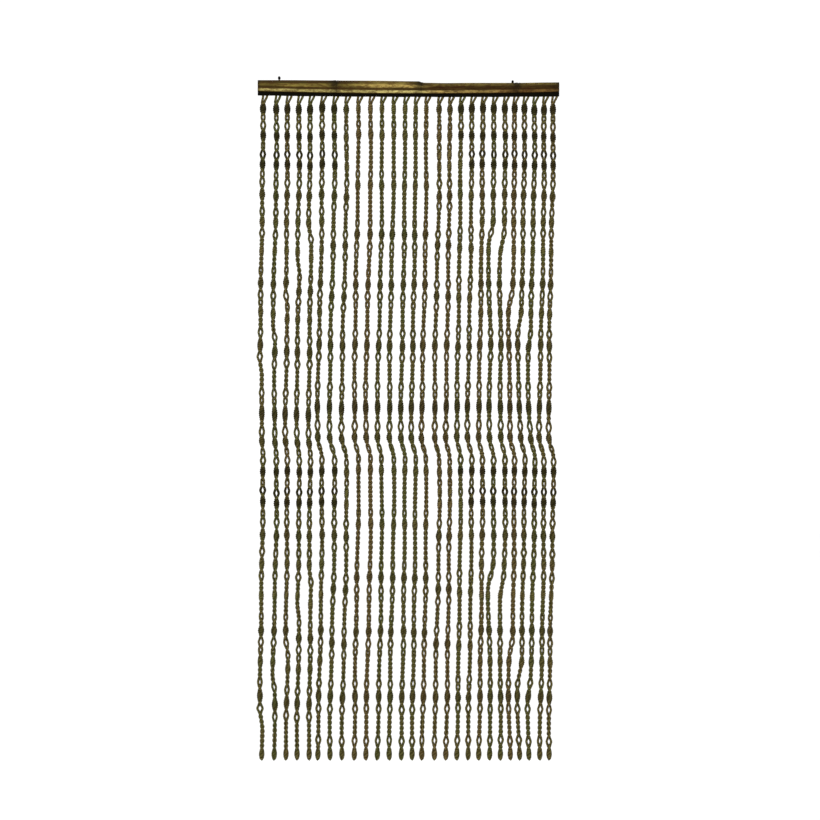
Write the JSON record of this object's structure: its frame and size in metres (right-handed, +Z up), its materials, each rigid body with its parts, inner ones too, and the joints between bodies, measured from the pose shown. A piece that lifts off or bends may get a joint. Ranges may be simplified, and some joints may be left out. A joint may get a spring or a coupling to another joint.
{
  "type": "string door curtain with a bamboo header rail",
  "caption": "Door curtain of knotted, twisted cord strands with open eyes, hanging from a dark heading strip under a split bamboo header rail with screw eyes on top.",
  "frame": {"origin": "middle of the header rail's flat back, 17 mm above its lower edge at the two ends", "axes": "+X along the rail to the right as seen from the front, +Y out of the rail's back towards the wall, +Z up"},
  "size_m": [0.9037, 0.0244, 2.0428],
  "materials": {
    "bamboo": "weathered, semi-matt cane with dark streaks",
    "cord": "matt twisted olive-brown cord, darker in the knots and the heading strip",
    "black_steel": "black lacquered wire"
  },
  "bodies": {
    "root": {"header_rail": "bamboo", "strand_row": "cord", "screw_eye_left": "black_steel", "screw_eye_right": "black_steel"}
  },
  "joints": []
}
